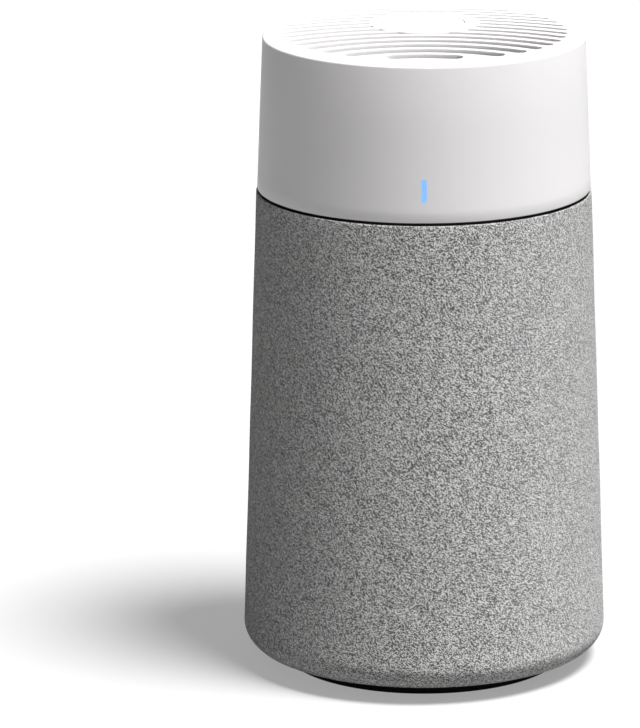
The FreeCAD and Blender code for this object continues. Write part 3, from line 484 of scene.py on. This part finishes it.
metalLooks = {
    "screwZinc": {"colour": (0.55, 0.55, 0.57), "roughness": 0.35},
    "motorAlloy": {"colour": (0.6, 0.6, 0.61), "roughness": 0.45, "stretch": (1, 1, 1)},
    "motorSteel": {"colour": (0.4, 0.4, 0.42), "roughness": 0.4, "stretch": (1, 1, 60)},
    "groundSteel": {"colour": (0.65, 0.65, 0.66), "roughness": 0.18, "stretch": (1, 1, 80)},
    "copperWire": {"colour": (0.72, 0.28, 0.12), "roughness": 0.3, "stretch": (1, 1, 14)},
    "ferrite": {"colour": (0.07, 0.07, 0.075), "roughness": 0.6, "metallic": 0.3, "stretch": (1, 1, 1)},
}
sheetLooks = {
    "filterPaper": {"light": (0.84, 0.84, 0.81), "dark": (0.66, 0.66, 0.63), "size": 0.0015},
    "carbonFelt": {"light": (0.035, 0.035, 0.037), "dark": (0.008, 0.008, 0.008), "size": 0.0018},
    "gasketFoam": {"light": (0.06, 0.06, 0.06), "dark": (0.02, 0.02, 0.02), "size": 0.0009},
}
lensLooks = {
    "indicatorBlue": {"deep": (0.14, 0.33, 0.78), "bright": (0.20, 0.42, 0.88), "strength": 0.55},
}
# in both cloths the gap colour is painted shade in the hollows between the yarns
clothLooks = {
    "heatherKnit": {"slant": 0.75, "pale": (0.93, 0.935, 0.92), "mid": (0.42, 0.42, 0.41),
                    "dark": (0.045, 0.044, 0.043), "gap": (0.03, 0.03, 0.03), "heather": 1.0,
                    "sheen": 0.45, "bump": 0.9, "depth": 0.00035},
    "elasticWeave": {"slant": 0.0, "pale": (0.12, 0.12, 0.12), "mid": (0.07, 0.07, 0.07),
                     "dark": (0.03, 0.03, 0.03), "gap": (0.01, 0.01, 0.01), "heather": 0.5,
                     "sheen": 0.2, "bump": 0.9, "depth": 0.0003},
}

finishes = {}
for makeFinish, looks in ((mouldedPlastic, plasticLooks), (workedMetal, metalLooks),
                          (fibrousSheet, sheetLooks), (litLens, lensLooks), (knittedCloth, clothLooks)):
    for finishName, look in looks.items():
        finishes[finishName] = makeFinish(finishName, look)
print("materials ready:", len(finishes))


# Camera first, then the floor and the lights

cameraView = {"place": (0.0, -2.421, 0.7698), "tilt": 75.355, "lens": 271.44, "shiftAcross": -0.1429}


def makeCamera():
    bpy.ops.object.camera_add(location=cameraView["place"],
                              rotation=(math.radians(cameraView["tilt"]), 0, 0))
    camera = bpy.context.object
    camera.name = "mainCamera"
    camera.data.lens = cameraView["lens"]
    camera.data.sensor_width = 36.0
    camera.data.shift_x = cameraView["shiftAcross"]
    bpy.context.scene.camera = camera


studio = {"floorSize": 14.0, "floorColour": (0.30, 0.30, 0.30), "floorGlow": 0.335,
          "worldColour": (1.0, 0.985, 0.995), "worldStrength": 0.13,
          "keyTurn": 62.0, "keyRise": 68.5, "keyPower": 7.9, "keySpread": 22.0}


def makeKeyLight():
    # a broad soft light from the front right, high up
    tilt = math.radians(90 - studio["keyRise"])
    turn = math.radians(studio["keyTurn"])
    bpy.ops.object.light_add(type="SUN", location=(1, -0.7, 2), rotation=(tilt, 0, turn))
    light = bpy.context.object
    light.name = "keyLight"
    light.data.energy = studio["keyPower"]
    light.data.angle = math.radians(studio["keySpread"])


def makeStudio():
    bpy.ops.mesh.primitive_plane_add(size=studio["floorSize"], location=(0, 0, 0))
    floor = latestPiece("studioFloor")
    placeInMesh(floor)
    material, tree, shader = startMaterial("floorPaper")
    place = tree.nodes.new("ShaderNodeTexCoord")
    speck = placeGroup(tree, mouldGrain, Colour=(*studio["floorColour"], 1), Drift=0.01, Grain_Size=0.002,
                       Roughness=0.75, Marks=0.05)
    tree.links.new(place.outputs["Object"], speck.inputs["Vector"])
    tree.links.new(speck.outputs["Colour"], shader.inputs["Base Color"])
    tree.links.new(speck.outputs["Roughness"], shader.inputs["Roughness"])
    shader.inputs["Specular IOR Level"].default_value = 0.2
    seen = tree.nodes.new("ShaderNodeLightPath")
    glow = mathNode(tree, "MULTIPLY", seen.outputs["Is Camera Ray"], studio["floorGlow"])
    shader.inputs["Emission Color"].default_value = (1, 1, 1, 1)
    tree.links.new(glow, shader.inputs["Emission Strength"])
    floor.data.materials.append(material)
    world = bpy.data.worlds.new("studioWorld")
    world.use_nodes = True
    background = world.node_tree.nodes["Background"]
    background.inputs["Color"].default_value = (*studio["worldColour"], 1)
    background.inputs["Strength"].default_value = studio["worldStrength"]
    bpy.context.scene.world = world
    makeKeyLight()
    bpy.context.scene.view_settings.view_transform = "Standard"


makeCamera()
makeStudio()
print("camera, floor and lights ready")


# Head shell: a tapered shell, its curved outlet slots and the openings for button, light and socket

shellLow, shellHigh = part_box("head_shell")
seamZ, topZ = shellLow.z, shellHigh.z
headShape = {"seamRadius": shellHigh.x, "topRadius": 0.0726, "wall": 0.0024, "grille": 0.0030,
             "edgeRound": 0.0010, "lowerRound": 0.0004, "segments": 256,
             "wallRings": (0.0055, 0.0088, 0.0200, 0.0215, 0.0400),
             "buttonY": 0.0285, "landRadius": 0.0250, "holeRadius": 0.01875, "podWall": 0.0012,
             "podDepth": 0.016, "bossCircle": 0.0690, "bossRadius": 0.0030,
             "windowHeight": 0.0144, "windowWidth": 0.0024, "windowLength": 0.0104,
             "socketHeight": 0.0136, "socketRecess": 0.0072, "socketHole": 0.0051, "recessDepth": 0.0012,
             "holeDepth": 0.0090, "windowNear": -0.085, "windowFar": -0.060, "beyondBack": 0.090,
             "overcut": 0.0020, "podOverlap": 0.0003, "bossCore": 0.52, "bossAngles": (30, 150, 210, 330),
             "bossLift": 0.0025, "bossDrop": 0.0035, "bossInset": 0.0006}
slotShape = {"count": 14, "front": 0.0488, "frontWidth": 0.0090, "frontTrim": 0.0032,
             "shrink": 0.885, "land": 0.0039, "least": 0.0020, "curveCentre": 0.100,
             "fieldMargin": 0.0078, "fieldShift": 0.0068, "cutDepth": 0.008, "cutDrop": 0.0015,
             "steps": 40, "edgeBevel": 0.00022}
grilleZ = topZ - headShape["grille"]


def shellRadius(z):
    share = (z - seamZ) / (topZ - seamZ)
    return headShape["seamRadius"] + (headShape["topRadius"] - headShape["seamRadius"]) * share


def slotCutter(middle, width, trim):
    curve = slotShape["curveCentre"] - middle
    field = headShape["topRadius"] - slotShape["fieldMargin"] - width / 2
    span = slotShape["curveCentre"] + slotShape["fieldShift"]
    cosine = (curve ** 2 + span ** 2 - field ** 2) / (2 * curve * span)
    turn = math.acos(max(-1.0, min(1.0, cosine))) - trim / curve
    x = -curve * math.sin(turn)
    y = curve * math.cos(turn) - slotShape["curveCentre"]
    bpy.ops.mesh.primitive_cylinder_add(vertices=20, radius=width / 2, depth=slotShape["cutDepth"],
                                        location=(x, y, topZ - slotShape["cutDrop"]), rotation=(0, 0, turn))
    cutter = latestPiece("slotCutter")
    placeInMesh(cutter)
    ahead = Vector((math.cos(turn), math.sin(turn), 0))
    selectWhere(cutter, "FACE", lambda f: abs(f.normal.z) < 0.5 and f.normal.dot(ahead) > 0.01)
    bpy.ops.mesh.spin(steps=slotShape["steps"], angle=2 * turn, center=(0, -slotShape["curveCentre"], topZ),
                      axis=(0, 0, 1))
    bpy.ops.object.mode_set(mode="OBJECT")
    tidyMesh(cutter)
    return cutter


def plainCylinder(name, radius, low, high, x=0.0, y=0.0, sides=96):
    bpy.ops.mesh.primitive_cylinder_add(vertices=sides, radius=radius, depth=high - low,
                                        location=(x, y, (low + high) / 2))
    piece = latestPiece(name)
    placeInMesh(piece)
    return piece


def lyingCylinder(name, radius, low, high, z, sides=64):
    bpy.ops.mesh.primitive_cylinder_add(vertices=sides, radius=radius, depth=high - low,
                                        location=(0, (low + high) / 2, z), rotation=(math.radians(90), 0, 0))
    piece = latestPiece(name)
    placeInMesh(piece)
    return piece


def pillCutter(name, low, high, z):
    # a round-ended bar along Y: half a cylinder's side is pulled up to make the straight part
    radius = headShape["windowWidth"] / 2
    half = (headShape["windowLength"] - headShape["windowWidth"]) / 2
    piece = lyingCylinder(name, radius, low, high, z - half, 32)
    selectWhere(piece, "FACE", lambda f: abs(f.normal.y) < 0.5 and f.normal.z > 0.01)
    bpy.ops.mesh.extrude_region_move(TRANSFORM_OT_translate={"value": (0, 0, 2 * half)})
    bpy.ops.object.mode_set(mode="OBJECT")
    tidyMesh(piece)
    return piece


def shellProfile():
    outerRound = arcPoints(headShape["topRadius"] - headShape["edgeRound"], topZ - headShape["edgeRound"],
                           headShape["edgeRound"], 2, 90, 6)
    foot = headShape["lowerRound"]
    profile = [(headShape["topRadius"] - headShape["wall"], grilleZ),
               (headShape["seamRadius"] - headShape["wall"], seamZ),
               (headShape["seamRadius"] - foot, seamZ),
               (headShape["seamRadius"] - foot * 0.3, seamZ + foot * 0.3),
               (shellRadius(seamZ + foot), seamZ + foot)]
    profile += [(shellRadius(seamZ + rise), seamZ + rise) for rise in headShape["wallRings"]]
    return profile + outerRound


def makeSlotCutters():
    # each slot is narrower than the one in front of it, and none runs under the control's land
    cutters = []
    middle = slotShape["front"]
    width = slotShape["frontWidth"]
    for number in range(slotShape["count"]):
        cutters.append(slotCutter(middle, width, 0.0 if number else slotShape["frontTrim"]))
        narrower = max(width * slotShape["shrink"], slotShape["least"])
        middle -= (width + narrower) / 2 + slotShape["land"]
        width = narrower
    slots = joinPieces(cutters, "slotCutters")
    cutAway(slots, plainCylinder("landKeep", headShape["landRadius"], topZ - 0.01, topZ + 0.01,
                                 0, headShape["buttonY"], 128))
    return slots


def cutTopOpenings(shell):
    cutAway(shell, makeSlotCutters())
    overcut = headShape["overcut"]
    cutAway(shell, plainCylinder("buttonHole", headShape["holeRadius"], grilleZ - overcut, topZ + overcut,
                                 0, headShape["buttonY"], 128))
    selectWhere(shell, "EDGE", lambda e: all(v.co.z > topZ - 1e-6 for v in e.verts)
                and e.calc_face_angle(0) > math.radians(50))
    bpy.ops.mesh.bevel(offset=slotShape["edgeBevel"], segments=2, affect="EDGES", clamp_overlap=True)
    bpy.ops.object.mode_set(mode="OBJECT")


def cutWallOpenings(shell):
    cutAway(shell, pillCutter("windowHole", headShape["windowNear"], headShape["windowFar"],
                              seamZ + headShape["windowHeight"]))
    socketZ = seamZ + headShape["socketHeight"]
    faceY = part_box("power_socket")[1].y
    beyond = headShape["beyondBack"]
    cutAway(shell, lyingCylinder("socketRecess", headShape["socketRecess"], faceY - headShape["recessDepth"],
                                 beyond, socketZ))
    cutAway(shell, lyingCylinder("socketHole", headShape["socketHole"], faceY - headShape["holeDepth"],
                                 beyond, socketZ))


def makeControlPod():
    outer = headShape["landRadius"]
    inner = outer - headShape["podWall"]
    upper = grilleZ + headShape["podOverlap"]
    lower = grilleZ - headShape["podDepth"]
    return turnedRing("controlPod", [(outer, upper), (outer, lower), (inner, lower), (inner, upper)],
                      96, (0, headShape["buttonY"]))


def makeScrewBosses():
    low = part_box("head_chassis")[1].z + headShape["bossLift"]
    high = topZ - headShape["bossDrop"]
    outer = headShape["bossRadius"]
    core = outer * headShape["bossCore"]
    bosses = []
    for angle in headShape["bossAngles"]:
        x = headShape["bossCircle"] * math.cos(math.radians(angle))
        y = headShape["bossCircle"] * math.sin(math.radians(angle))
        bosses.append(turnedRing("screwBoss", [(core, low), (outer, low), (outer, high), (core, high)],
                                 24, (x, y)))
    inset = headShape["bossInset"]
    keep = turnedRing("bossLimit", [(headShape["seamRadius"] - inset, seamZ - 0.001),
                                    (headShape["topRadius"] - inset, topZ)], 128, closed=False)
    bosses = joinPieces(bosses, "screwBosses")
    cutAway(bosses, keep, "INTERSECT")
    return bosses


def makeHeadShell():
    shell = turnedRing("headShell", shellProfile(), headShape["segments"], closed=False)
    cutTopOpenings(shell)
    cutWallOpenings(shell)
    pod = makeControlPod()
    shell = joinPieces([shell, pod, makeScrewBosses()], "headShell")
    smoothByAngle(shell, 30)
    dressPiece(shell, "head", "head_plastic", finishes["headWhite"], "head_shell")
    print("head shell:", len(shell.data.polygons), "faces")


makeHeadShell()


# Control button with a shallow dish and an engraved generic mark

buttonShape = {"radius": 0.0184, "thickness": 0.0045, "edgeRound": 0.0005, "dish": 0.00016, "rim": 0.0012,
               "flangeRadius": 0.0196, "hollowRadius": 0.0160, "skin": 0.0018,
               "flangeThickness": 0.0012, "flangeDrop": 0.0001, "markRadius": 0.0030, "markWidth": 0.0005,
               "markDepth": 0.00008, "markOvercut": 0.001, "stemRadius": 0.0026, "stemDrop": 0.0010,
               "stemBevel": 0.0003}


def makeControlButton():
    low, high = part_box("control_button")
    top = high.z
    centre = (0.0, headShape["buttonY"])
    radius = buttonShape["radius"]
    flangeTop = grilleZ - buttonShape["flangeDrop"]
    flangeLow = flangeTop - buttonShape["flangeThickness"]
    profile = [(buttonShape["hollowRadius"], top - buttonShape["skin"]),
               (buttonShape["hollowRadius"], top - buttonShape["thickness"]),
               (radius, top - buttonShape["thickness"]),
               (radius, flangeLow), (buttonShape["flangeRadius"], flangeLow),
               (buttonShape["flangeRadius"], flangeTop), (radius, flangeTop)]
    profile += arcPoints(radius - buttonShape["edgeRound"], top - buttonShape["edgeRound"],
                         buttonShape["edgeRound"], 0, 90, 6)
    profile += [(radius - buttonShape["rim"], top),
                (radius - buttonShape["rim"] - 0.0008, top - buttonShape["dish"] * 0.7),
                (radius - buttonShape["rim"] - 0.0020, top - buttonShape["dish"])]
    button = turnedRing("controlButton", profile, 160, centre, closed=False)
    floorZ = top - buttonShape["dish"] - buttonShape["markDepth"]
    outer = buttonShape["markRadius"]
    inner = outer - buttonShape["markWidth"]
    above = top + buttonShape["markOvercut"]
    mark = turnedRing("markRing", [(inner, floorZ), (outer, floorZ), (outer, above), (inner, above)],
                      64, centre)
    bpy.ops.mesh.primitive_cube_add(size=1, location=(0, centre[1] + outer, top))
    gap = latestPiece("markGap")
    gap.scale = (outer * 0.75, outer, 0.01)
    placeInMesh(gap)
    cutAway(mark, gap)
    bpy.ops.mesh.primitive_cube_add(size=1, location=(0, centre[1] + outer * 0.75, (floorZ + above) / 2))
    bar = latestPiece("markBar")
    bar.scale = (buttonShape["markWidth"], outer * 0.9, above - floorZ)
    placeInMesh(bar)
    mark = joinPieces([mark, bar], "buttonMark")
    cutAway(button, mark)
    stemLow = low.z
    stem = plainCylinder("buttonStem", buttonShape["stemRadius"], stemLow, top - buttonShape["stemDrop"],
                         centre[0], centre[1], 32)
    selectWhere(stem, "EDGE", lambda e: all(v.co.z < stemLow + 1e-6 for v in e.verts))
    bpy.ops.mesh.bevel(offset=buttonShape["stemBevel"], segments=2, affect="EDGES")
    bpy.ops.object.mode_set(mode="OBJECT")
    button = joinPieces([button, stem], "controlButton")
    smoothByAngle(button, 30)
    dressPiece(button, "button", "button_plastic", finishes["buttonWhite"], "control_button")
    button.data.materials.append(finishes["iconGrey"])
    for face in button.data.polygons:
        inMark = (face.center.x ** 2 + (face.center.y - centre[1]) ** 2) ** 0.5 < outer * 1.4
        face.material_index = 1 if inMark and floorZ - 1e-6 < face.center.z < floorZ + 1e-5 else 0
    print("control button:", len(button.data.polygons), "faces")


makeControlButton()


# Fabric sleeve: a tight knitted tube with a rolled top edge and a tucked-in bottom hem

sleeveShape = {"topRadius": 0.0760, "widest": 0.0830, "curl": 0.0110, "cloth": 0.0012, "inset": 0.0001,
               "hem": 0.0666, "segments": 288, "rings": 84, "curlSteps": 12, "innerRings": 8,
               "stitchAcross": 0.0005, "stitchUp": 0.00035, "ripple": 0.00010,
               "seamWidth": 0.0022, "seamDepth": 0.0004,
               "cutPoints": 102}  # the flat length runs from the top edge to just short of the hem


def sleeveProfile(low, high):
    shape = sleeveShape
    outset = -shape["inset"]
    roll = shape["cloth"] / 2
    topR = shape["topRadius"] + outset
    curlZ = low.z + shape["curl"]
    wideR = shape["widest"] + outset
    centre = shape["widest"] - shape["curl"]
    outer = arcPoints(topR - roll, high.z - roll, roll, 90, 0, 4)
    startR, startZ = outer[-1]
    wall = []
    for step in range(1, shape["rings"] + 1):
        share = step / shape["rings"]
        wall.append((startR + (wideR - startR) * share, startZ + (curlZ - startZ) * share))
    curl = arcPoints(centre, curlZ, shape["curl"] + outset, 0, -90, shape["curlSteps"])[1:]
    under = [(shape["hem"] + (centre - shape["hem"]) * share, curl[-1][1]) for share in (0.6, 0.25, 0.0)]
    hemTurn = [(shape["hem"] - 0.0002, curl[-1][1] + shape["cloth"] / 2),
               (shape["hem"], curl[-1][1] + shape["cloth"])]
    innerCurl = arcPoints(centre, curlZ, shape["curl"] + outset - shape["cloth"], -90, 0, shape["curlSteps"])
    innerTop = (topR - shape["cloth"], high.z - roll)
    innerWall = []
    for step in range(1, shape["innerRings"] + 1):
        share = step / shape["innerRings"]
        innerWall.append((innerCurl[-1][0] + (innerTop[0] - innerCurl[-1][0]) * share,
                          innerCurl[-1][1] + (innerTop[1] - innerCurl[-1][1]) * share))
    return outer + wall + curl + under + hemTurn + innerCurl + innerWall


def profileLengths(profile):
    lengths = [0.0]
    for before, after in zip(profile, profile[1:]):
        lengths.append(lengths[-1] + math.dist(before, after))
    return lengths


countedPoints = 40  # points of the profile, from its start, that set the stitches' mean radius


def countStitches(piece, profile, across, up):
    # the UV counts stitches: round the axis by true length, and along the profile from the top edge
    lengths = profileLengths(profile)
    rows = {}
    for (radius, z), length in zip(profile, lengths):
        rows.setdefault((round(radius, 5), round(z, 5)), length)
    keys = list(rows)
    layer = piece.data.uv_layers.new(name="stitches")
    found = {}
    for vertex in piece.data.vertices:
        place = (math.hypot(vertex.co.x, vertex.co.y), vertex.co.z)
        key = (round(place[0], 4), round(place[1], 4))
        if key not in found:
            found[key] = rows[min(keys, key=lambda k: (k[0] - place[0]) ** 2 + (k[1] - place[1]) ** 2)]
    meanRadius = sum(radius for radius, z in profile[:countedPoints]) / countedPoints
    for face in piece.data.polygons:
        middle = math.atan2(-face.center.x, face.center.y)
        for loopIndex in face.loop_indices:
            vertex = piece.data.vertices[piece.data.loops[loopIndex].vertex_index].co
            angle = math.atan2(-vertex.x, vertex.y)
            if angle - middle > math.pi:
                angle -= 2 * math.pi
            if middle - angle > math.pi:
                angle += 2 * math.pi
            key = (round(math.hypot(vertex.x, vertex.y), 4), round(vertex.z, 4))
            layer.data[loopIndex].uv = (angle * meanRadius / across, -found[key] / up)


def easeCloth(piece):
    # the tight cloth still shows slow ripples, and it is drawn in along its back seam
    shape = sleeveShape
    for vertex in piece.data.vertices:
        radius = math.hypot(vertex.co.x, vertex.co.y)
        angle = math.atan2(-vertex.co.x, vertex.co.y)
        wave = math.sin(angle * 9 + vertex.co.z * 40) * math.sin(angle * 4 - vertex.co.z * 70 + 1.0)
        shift = shape["ripple"] * (wave - 1)
        away = abs(angle) * radius / shape["seamWidth"]
        if away < 1:
            shift -= shape["seamDepth"] * (1 - away ** 2) ** 2
        share = (radius + shift) / radius
        vertex.co.x *= share
        vertex.co.y *= share


def makeSleeve():
    low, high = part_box("fabric_sleeve")
    profile = sleeveProfile(low, high)
    sleeve = turnedRing("fabricSleeve", profile, sleeveShape["segments"])
    countStitches(sleeve, profile, sleeveShape["stitchAcross"], sleeveShape["stitchUp"])
    easeCloth(sleeve)
    smoothByAngle(sleeve, 60)
    dressPiece(sleeve, "base", "sleeve_fabric", finishes["heatherKnit"], "fabric_sleeve")


makeSleeve()


# Elastic bands: ribbed rings with woven cloth

elasticShape = {"ribs": 0.00018, "ribStep": 0.0006, "inset": 0.00005, "segments": 240,
                "across": 0.0009, "up": 0.0007}


def makeElastic(node, name):
    low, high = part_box(node)
    outer = high.x - elasticShape["inset"]
    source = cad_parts[node].data.vertices
    inner = min(math.hypot(v.co.x, v.co.y) for v in source) + elasticShape["inset"]
    soft = min(outer - inner, high.z - low.z) * 0.3
    profile = arcPoints(outer - soft, high.z - soft, soft, 90, 0, 3)
    steps = max(2, int((high.z - low.z) / elasticShape["ribStep"]))
    for step in range(1, steps):
        z = high.z - soft - (high.z - low.z - 2 * soft) * step / steps
        profile.append((outer - elasticShape["ribs"] * (step % 2), z))
    profile += arcPoints(outer - soft, low.z + soft, soft, 0, -90, 3)
    profile += arcPoints(inner + soft, low.z + soft, soft, -90, -180, 3)
    profile += arcPoints(inner + soft, high.z - soft, soft, 180, 90, 3)
    band = turnedRing(name, profile, elasticShape["segments"])
    countStitches(band, profile, elasticShape["across"], elasticShape["up"])
    smoothByAngle(band, 60)
    dressPiece(band, "base", "elastic_tape", finishes["elasticWeave"], node)


makeElastic("sleeve_top_elastic", "sleeveTopElastic")
makeElastic("sleeve_bottom_elastic", "sleeveBottomElastic")
print("elastic bands ready")


# Finishes of the frame's own parts

nodeFinish = {
    "foot_ring": "footRubber", "base_pan": "baseBlack", "base_screws": "screwZinc",
    "intake_cage": "cageGraphite", "filter_bottom_cap": "filterPlastic", "filter_media": "filterPaper",
    "filter_carbon_sleeve": "carbonFelt", "filter_bands": "glueBand", "filter_top_cap": "filterPlastic",
    "filter_gasket": "gasketFoam", "head_chassis": "chassisBlack", "chassis_screws": "screwZinc",
    "inlet_guard": "chassisBlack", "inlet_bell": "fanWhite", "fan_housing": "fanWhite",
    "motor_base": "motorAlloy", "motor_screws": "screwZinc", "stator_core": "motorSteel",
    "stator_windings": "copperWire", "motor_board": "boardGreen", "lower_bearing": "groundSteel",
    "upper_bearing": "groundSteel", "control_board": "boardGreen", "control_board_screws": "screwZinc",
    "control_cover": "podWhite", "tact_switch": "switchNylon", "indicator_window": "indicatorBlue",
    "indicator_board": "boardGreen", "indicator_leds": "ledResin", "indicator_lead": "leadBlack",
    "power_socket": "socketBlack", "power_socket_nut": "screwZinc", "power_lead": "leadBlack",
    "motor_lead": "leadBlack", "impeller": "impellerGrey", "rotor_yoke": "motorSteel",
    "rotor_magnet": "ferrite", "motor_shaft": "groundSteel", "switch_plunger": "switchNylon",
}

for nodeName, finishName in nodeFinish.items():
    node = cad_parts[nodeName]
    node.data.materials.clear()
    node.data.materials.append(finishes[finishName])
print("frame parts dressed:", len(nodeFinish))
